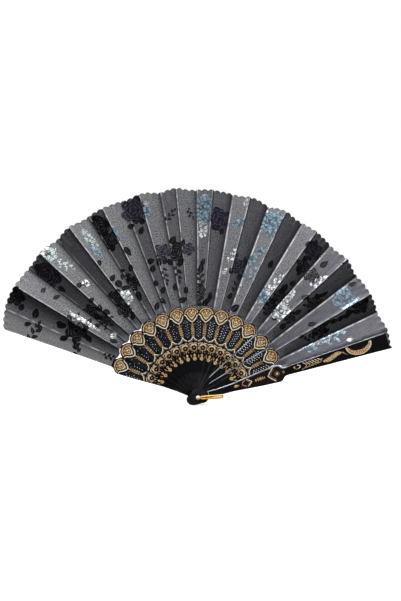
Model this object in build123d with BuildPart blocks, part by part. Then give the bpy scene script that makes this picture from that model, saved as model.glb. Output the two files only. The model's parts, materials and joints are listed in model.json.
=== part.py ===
from build123d import *
from math import cos, radians, sin, tan
import os

# Folding hand fan, fully opened and standing upright: the sticks radiate from
# the rivet in the XZ plane, +Z is the middle of the spread, the decorated
# front faces -Y, and the origin is on the rivet axis at mid depth of the stack.
# All lengths are millimetres, all angles degrees. A "radius" is a distance
# from the rivet, and half widths are measured across the stick.

# ---- spread and stack ----------------------------------------------------
# angle from each stick to the next, from the rear guard to the front guard:
# a hand opens the spread a little wider at its last sticks
PITCHES = [11.5, 10.9, 10.6, 10.3, 10.6, 10.2, 10.2, 10.6, 10.8, 10.2, 11.7, 11.9, 12.3]
SPREAD = sum(PITCHES)
STICKS = len(PITCHES) + 1  # two guards with the ribs between them
RIBS = STICKS - 2
RIB_T = 0.9  # rib thickness
RIB_GAP = 0.15  # air between neighbouring sticks
RIB_PITCH = RIB_T + RIB_GAP
GUARD_T = 2.2  # guard thickness over the handle
INNER = (RIBS * RIB_T + (RIBS + 1) * RIB_GAP) / 2  # inner face of the guards
OUTER = INNER + GUARD_T  # outer face of the guards
BORE_R = 1.55  # hole in every stick

# ---- handle and pierced paddle -------------------------------------------
HEAD_R = 7.2  # round head of a rib
HEAD_FILLET = 4.0  # where a rib's head meets its neck
NECK_W = 3.3  # half width of a rib's neck
NECK_END = 24.0  # radius where a rib's neck starts to widen
GUARD_NECK_END = 22.0  # radius of the bend in a guard's neck
GUARD_NECK_EXTRA = 0.4  # a guard's neck is wider there, and twice that at the rivet
GUARD_HEAD_W = 6.7  # half width of a guard's oval head
GUARD_HEAD_DROP = 3.2  # centre of the oval head below the rivet
TAIL = 12.3  # how far a guard runs past the rivet
ORNATE_START = 38.7  # radius where the pierced paddle begins
ORNATE_W0 = 4.5  # half width there
WAIST_Z = 70.0  # radius where the paddle's side bends
WAIST_W = 7.9  # half width there
PADDLE_Z = 88.3  # radius of the widest point, the centre of a rib's round top
PADDLE_W = 9.3  # half width there
# right side of the paddle: (half width, radius)
PADDLE_SIDE = [(ORNATE_W0, ORNATE_START), (WAIST_W, WAIST_Z), (PADDLE_W, PADDLE_Z)]

HOLE_R = 0.55  # pierced holes along the paddle edges
HOLE_START = 64.5  # radius of the first hole
HOLE_PITCH = 2.9
# rows of holes, staggered: (radius of the first, count, distance in from the edge)
HOLE_ROWS = [(HOLE_START, 7, 1.4), (HOLE_START + HOLE_PITCH / 2, 6, 3.2)]

# ---- slips and guard blades ----------------------------------------------
TIP = 212.0  # radius of the stick tips
SLIP_START = 91.0  # radius where the slip that carries the leaf begins
SLIP_T = 0.5
SLIP_W = 2.3  # half width at its start
SLIP_TIP_W = 2.0
BLADE_START = 98.0  # radius where a guard's blade leaves its paddle
BLADE_T = 1.1  # guard thickness in the leaf zone
BLADE_W0 = 4.6  # half width at the start
BLADE_W1 = 9.0  # half width at the tip
BLADE_LEAN = 0.026  # outward lean of the guard blades, mm per mm
BLADE_STEP = 1.1  # how far the blade's inner face is set back
BLADE_STATIONS = (BLADE_START - 0.1, 99.9, 130.0, 170.0, TIP)
STEP_CUT = BLADE_STEP + 0.08  # depth cut off the inner face at the blade's root
STEP_CUT_W = 30.0  # size of that cut across the guard
STEP_CUT_LENGTH = 12.0
RECESS_R = 3.0  # recess in the rear guard for the riveted end
RECESS_DEPTH = 0.9

# right shoulder of a guard, Bezier poles from paddle to blade: (half width, radius)
SHOULDER = [
    (PADDLE_W, PADDLE_Z),
    (PADDLE_W + 0.3, PADDLE_Z + 5.6),
    (BLADE_W0 + 0.6, PADDLE_Z + 4.6),
    (BLADE_W0, BLADE_START),
]
# right side of the short root that runs into the blade: (half width, radius)
BLADE_ROOT = [(BLADE_W0, BLADE_START), (BLADE_W0 + 0.1, BLADE_START + 2.3)]

# ---- leaf ------------------------------------------------------------------
LEAF_T = 0.2  # fabric
GLUE = 0.03  # glue line between slip and fabric
LEAF_R0 = 98.6  # inner edge of the leaf
LEAF_R1 = 214.5  # outer edge of the leaf on the front guard
LEAF_R1_STEP = 1.05  # the outer edge is further out at each stick towards the rear guard
MID_STATIONS = (105.0, 120.0, 150.0, 180.0)  # radii of the sections of slips and panels
PEAK = 1.8  # from a rib's axis to the mountain fold on its left
VALLEY = 3.9  # from a rib's axis to the valley fold on its right
GUARD_HALF = 2.5  # from a guard's axis to the edges of its panel
FRONT_PEAK = 3.0  # except the last mountain fold, left of the front guard
FOLD_GAP = 0.12  # kept free at each side of a bridging panel

# slope of the pleats: (radius, depth per mm across the panel)
PLEAT = [
    (LEAF_R0, 0.0), (105.0, 0.25), (120.0, 0.32),
    (150.0, 0.38), (180.0, 0.405), (217.6, 0.42),
]

# ---- rivet and hanging loop ------------------------------------------------
PIN_R = 1.5  # rivet shank
RIVET_TOP = OUTER - 0.1  # rear end face of the rivet
FLARE_LEVEL = OUTER - 0.4  # front side of the rivet's flared rear end
BURR_R = 2.7
BURR_T = 0.4
WASHER_R = 2.4
WASHER_T = 0.3
LOOP_RING_R = 2.15
LOOP_RING_T = 0.4
TONGUE_W = 2.6
TONGUE_LENGTH = 5.6
TONGUE_CENTRE = 4.2  # from the rivet axis
AIR = 0.06  # between the parts stacked on the front guard
WASHER_BACK = -OUTER - AIR
RING_BACK = WASHER_BACK - WASHER_T - AIR
HEAD_BACK = RING_BACK - LOOP_RING_T - AIR
HEAD_FRONT = HEAD_BACK - 1.15
LOOP_ANGLE = 6.7  # rest direction of the hanging loop
LOOP_CORD_R = 1.0
LOOP_HALF = 1.15  # half the distance between the loop's two strands
LOOP_NEAR = 4.4  # ends of the straight strands, from the rivet axis
LOOP_FAR = 25.0
CORD_LEVEL = RING_BACK - LOOP_RING_T - GLUE - LOOP_CORD_R


def between(r, r0, r1, value0, value1):
    """Straight interpolation from value0 at r0 to value1 at r1."""
    return value0 + (value1 - value0) * (r - r0) / (r1 - r0)


def slope(r):
    """Pleat slope at radius r, constant outside the table."""
    if r <= PLEAT[0][0]:
        return PLEAT[0][1]
    for (r0, slope0), (r1, slope1) in zip(PLEAT, PLEAT[1:]):
        if r <= r1:
            return between(r, r0, r1, slope0, slope1)
    return PLEAT[-1][1]


def paddle_half(r):
    """Half width of the pierced paddle at radius r."""
    if r <= WAIST_Z:
        return between(r, ORNATE_START, WAIST_Z, ORNATE_W0, WAIST_W)
    return between(r, WAIST_Z, PADDLE_Z, WAIST_W, PADDLE_W)


def blade_inner(r):
    """Distance from mid depth to the inner face of a guard blade at radius r."""
    return INNER + BLADE_STEP + BLADE_LEAN * (r - BLADE_START)


def stick_angle(k):
    """Direction of stick k (1 is the rear guard, STICKS the front guard)."""
    return 90 + SPREAD / 2 - sum(PITCHES[: k - 1])


def rib_level(k):
    """Mid plane along Y of the rib that is stick k."""
    return INNER - RIB_GAP - RIB_T / 2 - (k - 2) * RIB_PITCH


def leaf_back(k):
    """Back of the fabric along Y on the axis of the rib that is stick k."""
    return rib_level(k) - SLIP_T / 2 - GLUE


def leaf_radii(k):
    """Stations of the leaf panels at stick k, from the inner to the outer edge."""
    return (LEAF_R0, *MID_STATIONS, LEAF_R1 + (STICKS - k) * LEAF_R1_STEP)


def face_plane(angle, y):
    """Plane of a stick: x across it, y along it, normal towards the front."""
    a = radians(angle)
    return Plane(origin=(0, y, 0), x_dir=(sin(a), 0, -cos(a)), z_dir=(0, -1, 0))


def section_plane(angle, r):
    """Plane square to a stick at radius r: x across it, y towards the back."""
    a = radians(angle)
    return Plane(
        origin=(r * cos(a), 0, r * sin(a)),
        x_dir=(sin(a), 0, -cos(a)),
        z_dir=(cos(a), 0, sin(a)),
    )


def mirror_side(points):
    """The same side on the left, run through in the opposite direction."""
    return [(-x, z) for x, z in reversed(points)]


def strip(left, right, y_left, y_right, thickness):
    """Corners of a thin cross-section from -left to right, in a section plane."""
    return [
        (-left, y_left),
        (right, y_right),
        (right, y_right + thickness),
        (-left, y_left + thickness),
    ]


def save(part, name):
    part.label = name
    export_step(part, f"parts/{name}.step")


EDGE_HOLES = [
    (side * (paddle_half(z) - inset), z)
    for start, count, inset in HOLE_ROWS
    for z in (start + HOLE_PITCH * i for i in range(count))
    for side in (1, -1)
]


def build_rib(k):
    angle, level = stick_angle(k), rib_level(k)
    right_side = [(NECK_W, 0), (NECK_W, NECK_END)] + PADDLE_SIDE
    with BuildPart() as rib:
        with BuildSketch(face_plane(angle, level + RIB_T / 2)) as outline:
            with BuildLine():
                Polyline(*mirror_side(right_side), *right_side)
                ThreePointArc((PADDLE_W, PADDLE_Z), (0, PADDLE_Z + PADDLE_W), (-PADDLE_W, PADDLE_Z))
            make_face()
            Circle(HEAD_R)
            # the two corners between head and neck
            fillet(
                outline.vertices().filter_by(lambda v: 3 < (v.X**2 + v.Y**2) ** 0.5 < 9),
                HEAD_FILLET,
            )
            Circle(BORE_R, mode=Mode.SUBTRACT)
            with Locations(*EDGE_HOLES):
                Circle(HOLE_R, mode=Mode.SUBTRACT)
        extrude(amount=RIB_T)
        # slip: flat inside the paddle, then twisted to the slope of its pleat
        for r in (SLIP_START, 99.0, *MID_STATIONS, TIP):
            half = between(r, SLIP_START, TIP, SLIP_W, SLIP_TIP_W)
            rise = slope(r) * half
            front = level - SLIP_T / 2
            with BuildSketch(section_plane(angle, r)):
                with BuildLine():
                    Polyline(*strip(half, half, front - rise, front + rise, SLIP_T), close=True)
                make_face()
        loft(ruled=True)
    save(rib.part, f"rib_{k - 1:02d}")


def build_guard(name, k):
    angle = stick_angle(k)
    rear = k == 1
    side = 1 if rear else -1  # direction along Y in which the guard faces outward
    right_side = [
        (NECK_W + 2 * GUARD_NECK_EXTRA, 0),
        (NECK_W + GUARD_NECK_EXTRA, GUARD_NECK_END),
    ] + PADDLE_SIDE
    with BuildPart() as guard:
        with BuildSketch(face_plane(angle, OUTER if rear else -INNER)):
            with BuildLine():
                Polyline(*mirror_side(right_side), *right_side)
                # rounded shoulders that run into the blade
                Bezier(*SHOULDER)
                Polyline(*BLADE_ROOT, *mirror_side(BLADE_ROOT))
                Bezier(*mirror_side(SHOULDER))
            make_face()
            with Locations((0, -GUARD_HEAD_DROP)):
                Ellipse(GUARD_HEAD_W, TAIL - GUARD_HEAD_DROP)
            Circle(BORE_R, mode=Mode.SUBTRACT)
            if rear:  # the front guard is not pierced
                with Locations(*EDGE_HOLES):
                    Circle(HOLE_R, mode=Mode.SUBTRACT)
        extrude(amount=GUARD_T)
        # the inner face steps back where the folded leaf lies
        with BuildSketch(face_plane(angle, INNER + STEP_CUT if rear else -INNER)):
            with Locations((0, BLADE_START + STEP_CUT_LENGTH / 2)):
                Rectangle(STEP_CUT_W, STEP_CUT_LENGTH)
        extrude(amount=STEP_CUT, mode=Mode.SUBTRACT)
        if rear:
            with BuildSketch(face_plane(angle, OUTER)):
                Circle(RECESS_R)
            extrude(amount=RECESS_DEPTH, mode=Mode.SUBTRACT)
        # blade: leans outward so that the folded leaf has room on its inner side
        for r in BLADE_STATIONS:
            half = between(r, BLADE_START, TIP, BLADE_W0, BLADE_W1)
            face = side * blade_inner(r)
            with BuildSketch(section_plane(angle, r)):
                with BuildLine():
                    Polyline(*strip(half, half, face, face, side * BLADE_T), close=True)
                make_face()
        loft(ruled=True)
    save(guard.part, name)


def glued_section(k, r):
    """Left and right fold angle, slope and back level of the panel on stick k."""
    if k == 1:
        return GUARD_HALF, GUARD_HALF, 0.0, blade_inner(r) - GLUE
    if k == STICKS:
        return FRONT_PEAK, GUARD_HALF, 0.0, -blade_inner(r) + GLUE + LEAF_T
    return PEAK, VALLEY, slope(r), leaf_back(k)


def build_glued_panel(k):
    """Leaf panel glued to stick k."""
    with BuildPart() as panel:
        for r in leaf_radii(k):
            left_angle, right_angle, tilt, back = glued_section(k, r)
            left = r * tan(radians(left_angle))
            right = r * tan(radians(right_angle))
            front = back - LEAF_T
            with BuildSketch(section_plane(stick_angle(k), r)):
                with BuildLine():
                    Polyline(
                        *strip(left, right, front - tilt * left, front + tilt * right, LEAF_T),
                        close=True,
                    )
                make_face()
        loft(ruled=True)
    save(panel.part, f"leaf_glued_{k:02d}")


def bridge_fronts(k, r):
    """Front level of the fabric at the left and right edge of bridge k."""
    if k == 1:
        left = blade_inner(r) - GLUE - LEAF_T
    else:
        left = leaf_back(k) - LEAF_T + slope(r) * r * tan(radians(VALLEY))
    if k + 1 == STICKS:
        right = -blade_inner(r) + GLUE
    else:
        right = leaf_back(k + 1) - LEAF_T - slope(r) * r * tan(radians(PEAK))
    return left, right


def build_bridge_panel(k):
    """Free leaf panel from stick k to the next."""
    start = stick_angle(k) - (GUARD_HALF if k == 1 else VALLEY)
    stop = stick_angle(k + 1) + (FRONT_PEAK if k + 1 == STICKS else PEAK)
    with BuildPart() as panel:
        for r in leaf_radii(k + 0.5):
            half = r * tan(radians((start - stop) / 2)) - FOLD_GAP
            with BuildSketch(section_plane((start + stop) / 2, r)):
                with BuildLine():
                    Polyline(*strip(half, half, *bridge_fronts(k, r), LEAF_T), close=True)
                make_face()
        loft(ruled=True)
    save(panel.part, f"leaf_bridge_{k:02d}")


def build_rivet():
    with BuildPart() as rivet:
        # half profile: x is the radius, y runs along the rivet axis
        with BuildSketch(Plane.XY):
            with BuildLine():
                Polyline(
                    (0, RIVET_TOP),
                    (2.0, RIVET_TOP),
                    (2.1, FLARE_LEVEL),
                    (PIN_R, FLARE_LEVEL),
                    (PIN_R, HEAD_BACK),
                    (2.15, HEAD_BACK),
                    (2.2, HEAD_BACK - 0.3),
                )
                ThreePointArc((2.2, HEAD_BACK - 0.3), (1.5, HEAD_BACK - 0.92), (0.5, HEAD_FRONT))
                Polyline((0.5, HEAD_FRONT), (0, HEAD_FRONT), (0, RIVET_TOP))
            make_face()
        revolve(axis=Axis.Y)
    save(rivet.part, "rivet")


def build_flat_ring(name, back, radius, bore, thickness):
    with BuildPart() as ring:
        with BuildSketch(face_plane(90, back)):
            Circle(radius)
            Circle(bore, mode=Mode.SUBTRACT)
        extrude(amount=thickness)
    save(ring.part, name)


def build_loop_ring():
    """Ring on the rivet with a tongue along the hanging loop."""
    with BuildPart() as loop_ring:
        with BuildSketch(face_plane(LOOP_ANGLE, RING_BACK)):
            with Locations((0, TONGUE_CENTRE)):
                Rectangle(TONGUE_W, TONGUE_LENGTH)
            Circle(LOOP_RING_R)
            Circle(BORE_R, mode=Mode.SUBTRACT)
        extrude(amount=LOOP_RING_T)
    save(loop_ring.part, "loop_ring")


def build_hanging_loop():
    """Closed cord: two straight strands joined by half circles."""
    near_right, far_right = (LOOP_HALF, LOOP_NEAR), (LOOP_HALF, LOOP_FAR)
    near_left, far_left = (-LOOP_HALF, LOOP_NEAR), (-LOOP_HALF, LOOP_FAR)
    with BuildPart() as hanging_loop:
        with BuildLine(face_plane(LOOP_ANGLE, CORD_LEVEL)) as course:
            Line(near_right, far_right)
            ThreePointArc(far_right, (0, LOOP_FAR + LOOP_HALF), far_left)
            Line(far_left, near_left)
            ThreePointArc(near_left, (0, LOOP_NEAR - LOOP_HALF), near_right)
        with BuildSketch(course.line ^ 0):
            Circle(LOOP_CORD_R)
        sweep()
    save(hanging_loop.part, "hanging_loop")


os.makedirs("parts", exist_ok=True)
for k in range(2, STICKS):
    build_rib(k)
build_guard("rear_guard", 1)
build_guard("front_guard", STICKS)
for k in range(1, STICKS + 1):
    build_glued_panel(k)
for k in range(1, STICKS):
    build_bridge_panel(k)
build_rivet()
build_flat_ring("rivet_burr", FLARE_LEVEL - 0.04, BURR_R, PIN_R + 0.02, BURR_T)
build_flat_ring("rivet_washer", WASHER_BACK, WASHER_R, BORE_R, WASHER_T)
build_loop_ring()
build_hanging_loop()
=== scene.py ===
import json
import math

import bpy
import numpy as np
from mathutils import Matrix, Vector

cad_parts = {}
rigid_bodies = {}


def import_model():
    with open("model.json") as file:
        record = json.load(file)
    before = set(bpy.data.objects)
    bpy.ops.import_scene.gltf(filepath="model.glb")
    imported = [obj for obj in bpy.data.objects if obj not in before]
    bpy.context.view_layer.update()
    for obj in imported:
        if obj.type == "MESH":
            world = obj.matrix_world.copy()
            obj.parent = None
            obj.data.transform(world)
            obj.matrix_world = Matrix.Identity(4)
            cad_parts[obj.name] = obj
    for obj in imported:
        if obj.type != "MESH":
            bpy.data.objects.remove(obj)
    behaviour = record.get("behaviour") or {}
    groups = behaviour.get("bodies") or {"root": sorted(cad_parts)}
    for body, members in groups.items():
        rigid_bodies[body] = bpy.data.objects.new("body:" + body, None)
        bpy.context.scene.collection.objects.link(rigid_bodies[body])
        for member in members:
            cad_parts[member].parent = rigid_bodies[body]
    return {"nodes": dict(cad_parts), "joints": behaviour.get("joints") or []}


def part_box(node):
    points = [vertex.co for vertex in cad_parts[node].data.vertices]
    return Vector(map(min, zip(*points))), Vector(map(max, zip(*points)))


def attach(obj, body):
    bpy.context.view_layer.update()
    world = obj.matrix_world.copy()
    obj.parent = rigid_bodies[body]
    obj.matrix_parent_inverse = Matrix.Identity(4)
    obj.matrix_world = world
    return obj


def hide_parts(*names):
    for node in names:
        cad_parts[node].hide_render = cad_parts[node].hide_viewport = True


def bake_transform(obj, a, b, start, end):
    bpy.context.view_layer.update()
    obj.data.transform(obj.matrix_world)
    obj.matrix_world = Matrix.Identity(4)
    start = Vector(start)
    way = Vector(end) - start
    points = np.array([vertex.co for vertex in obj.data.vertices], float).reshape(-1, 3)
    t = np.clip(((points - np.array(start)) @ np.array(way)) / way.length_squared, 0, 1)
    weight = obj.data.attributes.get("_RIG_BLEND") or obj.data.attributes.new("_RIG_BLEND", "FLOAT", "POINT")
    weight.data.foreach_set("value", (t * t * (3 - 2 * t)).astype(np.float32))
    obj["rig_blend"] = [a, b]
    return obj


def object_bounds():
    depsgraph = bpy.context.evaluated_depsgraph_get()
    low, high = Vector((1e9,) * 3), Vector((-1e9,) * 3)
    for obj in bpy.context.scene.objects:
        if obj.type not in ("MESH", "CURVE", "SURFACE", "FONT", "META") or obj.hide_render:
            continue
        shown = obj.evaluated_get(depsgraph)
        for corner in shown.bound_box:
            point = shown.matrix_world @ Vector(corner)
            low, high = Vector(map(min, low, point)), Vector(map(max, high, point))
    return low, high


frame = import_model()
CAD_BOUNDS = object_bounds()
MM = 0.001

# ---------------------------------------------------------------- layout ---
folds = sorted(
    (j for j in frame["joints"] if j["name"].startswith("fold_")), key=lambda j: j["name"]
)
PITCHES = [round(j["range_deg"][1], 2) for j in folds]  # degrees from stick to stick
STICKS = len(PITCHES) + 1
BODIES = [folds[0]["parent"]] + [j["child"] for j in folds]
CAD_STICKS = ["rear_guard"] + [f"rib_{i:02d}" for i in range(1, STICKS - 1)] + ["front_guard"]
MIDDLE = 7  # number of the middle piece, where the lit side of the folds changes
HANDLE_R = 60.0  # the handles' levels are read within this radius


def stick_angle(k):
    """Direction of stick k in degrees from +X."""
    return 90 + sum(PITCHES) / 2 - sum(PITCHES[: k - 1])


def handle_levels(node):
    """Back and front Y of a stick over its handle, in mm, from its CAD mesh."""
    points = np.array([v.co for v in frame["nodes"][node].data.vertices], float) / MM
    handle = points[np.hypot(points[:, 0], points[:, 2]) < HANDLE_R]
    return handle[:, 1].max(), handle[:, 1].min()


LEVELS = [handle_levels(node) for node in CAD_STICKS]
MID_Y = [0.5 * (back + front) for back, front in LEVELS]
FRONT_Y = [front for _, front in LEVELS]
RIB_PITCH = MID_Y[1] - MID_Y[2]

# Cloth on the sticks, mm
SLIP_THICK, SLIP_HALF, GLUE = 0.5, 2.3, 0.03
CLOTH_THICK = 0.16
GLUED_OFFSET = SLIP_THICK / 2 + GLUE + CLOTH_THICK / 2
LEAN, LEAN_R = 0.026, 98.0  # guard blades lean outward by this slope from this radius

# Degrees from a stick's axis to its folds
PEAK, VALLEY, GUARD_HALF, FRONT_PEAK = 1.8, 3.9, 2.5, 3.0
# Pleat steepness over the radius
PLEAT_R = [98.6, 105.0, 120.0, 150.0, 180.0, 217.6]
PLEAT_SLOPE = [0.0, 0.25, 0.32, 0.38, 0.405, 0.42]

# Half outline of the paddle: half-widths at heights along the stick, then a round head
FOOT_Z, FOOT_HALF = 38.7, 4.5
WAIST_Z, WAIST_HALF = 70.0, 7.9
PADDLE_Z, PADDLE_R = 88.3, 9.3


def smooth(t):
    t = np.clip(t, 0, 1)
    return t * t * (3 - 2 * t)


# ------------------------------------------------------------ mesh helpers --
def new_object(name, verts, quads):
    """Smooth-shaded quad mesh from points in mm."""
    mesh = bpy.data.meshes.new(name)
    mesh.from_pydata((np.asarray(verts, np.float64) * MM).tolist(), [], [])
    quads = np.asarray(quads, np.int32)
    mesh.loops.add(quads.size)
    mesh.loops.foreach_set("vertex_index", quads.ravel())
    mesh.polygons.add(len(quads))
    mesh.polygons.foreach_set("loop_start", np.arange(0, quads.size, 4, dtype=np.int32))
    mesh.polygons.foreach_set("loop_total", np.full(len(quads), 4, np.int32))
    mesh.update(calc_edges=True)
    mesh.validate()
    mesh.polygons.foreach_set("use_smooth", np.ones(len(mesh.polygons), bool))
    obj = bpy.data.objects.new(name, mesh)
    bpy.context.scene.collection.objects.link(obj)
    return obj


def set_attr(obj, name, values):
    attrs = obj.data.attributes
    attr = attrs.get(name) or attrs.new(name, "FLOAT", "POINT")
    attr.data.foreach_set("value", np.asarray(values, np.float32))


def rotated(points, angle):
    """Points turned in the XZ plane by an angle in radians."""
    c, s = math.cos(angle), math.sin(angle)
    x, y, z = points.T
    return np.stack([x * c - z * s, y, x * s + z * c], -1)


def front_first(verts, quads):
    """Quads wound so that the first one looks to the front, -Y."""
    p = verts[quads[0]]
    turned_back = np.cross(p[1] - p[0], p[2] - p[0])[1] > 0
    return quads[:, ::-1] if turned_back else quads


def shell(front, back):
    """Closed skin over two matching (rows, cols, 3) grids."""
    rows, cols = front.shape[:2]
    n = rows * cols
    i = (np.arange(rows - 1)[:, None] * cols + np.arange(cols - 1)[None, :]).ravel()
    grid = np.stack([i, i + 1, i + cols + 1, i + cols], -1)
    ring = np.concatenate([
        np.arange(cols),
        np.arange(1, rows) * cols + cols - 1,
        (rows - 1) * cols + np.arange(cols - 2, -1, -1),
        np.arange(rows - 2, 0, -1) * cols,
    ])
    following = np.roll(ring, -1)
    wall = np.stack([following, ring, ring + n, following + n], -1)
    verts = np.concatenate([front.reshape(-1, 3), back.reshape(-1, 3)])
    return verts, np.concatenate([grid, grid[:, ::-1] + n, wall])


def value_noise(x, y, seed):
    """Smooth value noise on a unit lattice, in -1..1."""
    xi, yi = np.floor(x).astype(np.int64), np.floor(y).astype(np.int64)
    fx, fy = smooth(x - xi), smooth(y - yi)

    def lattice(i, j):
        v = (i * 374761393 + j * 668265263 + seed * 982451653) & 0x7FFFFFFF
        v = (v ^ (v >> 13)) * 1274126177 & 0x7FFFFFFF
        return ((v ^ (v >> 16)) & 0xFFFF) / 32767.5 - 1.0

    low = lattice(xi, yi) * (1 - fx) + lattice(xi + 1, yi) * fx
    high = lattice(xi, yi + 1) * (1 - fx) + lattice(xi + 1, yi + 1) * fx
    return low * (1 - fy) + high * fy


# ------------------------------------------------------------ print motifs --
# Each motif returns a signed distance in mm, positive inside. Turns are in radians.
def turned_axes(x, z, turn):
    c, s = math.cos(turn), math.sin(turn)
    return x * c + z * s, -x * s + z * c


def leaf(x, z, turn, length, width):
    """Pointed oval, with a thin bare vein when it is long enough."""
    u, v = turned_axes(x, z, turn)
    t = np.clip(u / length, -0.5, 0.5)
    half = 0.5 * width * (1 - (2 * t) ** 2) ** 0.8 * (1 - 0.5 * t)
    d = np.minimum(half - np.abs(v), 0.5 * length - np.abs(u))
    if length <= 5.5:
        return d
    vein = 0.16 - np.abs(v - 0.04 * u)
    return np.where(u < 0.3 * length, np.minimum(d, -vein), d)


def rose(x, z, turn, radius, gap):
    """Lobed blossom; its petals are parted by bare lines of half-width gap, if any."""
    r = np.hypot(x, z) + 1e-9
    a = np.arctan2(z, x) + turn
    d = radius * (1 + 0.10 * np.cos(5 * a) + 0.05 * np.cos(9 * a + 1.0)) - r
    if gap <= 0:
        return d
    lines = np.full_like(r, -9.0)
    for ring, lobes, shift in ((0.74, 5, 0.3), (0.50, 4, 1.1), (0.26, 3, 2.0)):
        half_turns = 0.5 * lobes * (a + shift)
        ring_r = radius * ring * (1 + 0.16 * np.abs(np.sin(half_turns)) - 0.05)
        arc = gap - np.abs(r - ring_r)
        lines = np.maximum(lines, np.where(np.abs(np.cos(half_turns)) > 0.18, arc, -1.0))
    for i in range(5):
        b = a - i * 2 * math.pi / 5 - 0.9 * (r / radius)
        b = (b + math.pi) % (2 * math.pi) - math.pi
        near = (r > 0.72 * radius) & (np.abs(b) < 0.6)
        lines = np.maximum(lines, np.where(near, gap * 0.8 - np.abs(b) * r, -1.0))
    return np.minimum(d, -lines)


def sprig(x, z, turn, size):
    """Bent stem with six small leaves."""
    bend, length = 0.25, 2.0 * size
    u, v = turned_axes(x, z, turn)
    stem = 0.22 - np.abs(v - bend * ((u / length) ** 2 - 0.25) * length)
    d = np.minimum(stem, 0.5 * length - np.abs(u))
    c, s = math.cos(turn), math.sin(turn)
    # place along the stem, side, length of each leaf
    for t, side, share in (
        (-0.75, 1, 0.75), (-0.45, -1, 0.85), (-0.05, 1, 0.9),
        (0.3, -1, 0.85), (0.65, 1, 0.7), (1.0, 0, 0.7),
    ):
        u, v = t * size, bend * ((t / 2) ** 2 - 0.25) * length
        lean = turn + side * 0.85
        cx = u * c - v * s + math.cos(lean) * share * size * 0.42
        cz = u * s + v * c + math.sin(lean) * share * size * 0.42
        one = leaf(x - cx, z - cz, lean, share * size * 0.85, share * size * 0.42)
        d = np.maximum(d, one)
    return d


def cluster(x, z, turn, size, gap):
    """Blossom ringed by six leaves."""
    d = rose(x, z, turn, size, gap)
    angles = (0.3, 1.2, 2.5, 3.4, 4.4, 5.4)
    shares = (1.0, 0.8, 1.05, 0.8, 0.95, 0.75)
    for i, (a, share) in enumerate(zip(angles, shares)):
        a += turn
        cx, cz = math.cos(a) * size * 1.42, math.sin(a) * size * 1.42
        lean = a + 0.5 * (-1) ** i
        d = np.maximum(d, leaf(x - cx, z - cz, lean, share * size * 0.95, share * size * 0.5))
    return d


def streak(x, z, turn, length, width):
    """Long foil patch with a wavy edge and a wavy bare line."""
    u, v = turned_axes(x, z, turn)
    half = 0.5 * width * (1 - 0.6 * (2 * u / length) ** 2)
    half = half + 0.35 * np.sin(u * 1.7) + 0.2 * np.sin(u * 3.9 + 1)
    d = np.minimum(half - np.abs(v), 0.5 * length - np.abs(u))
    bare = 0.2 - np.abs(v - 0.9 * np.sin(u * 0.9))
    return np.minimum(d, -bare)


# Tone: growth of its motifs, half-width of the bare petal lines in mm
TONES = {"ink": (1.22, 0.30), "violet": (1.22, 0.30), "silver": (1.12, 0.0), "blue": (1.12, 0.0)}

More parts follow.
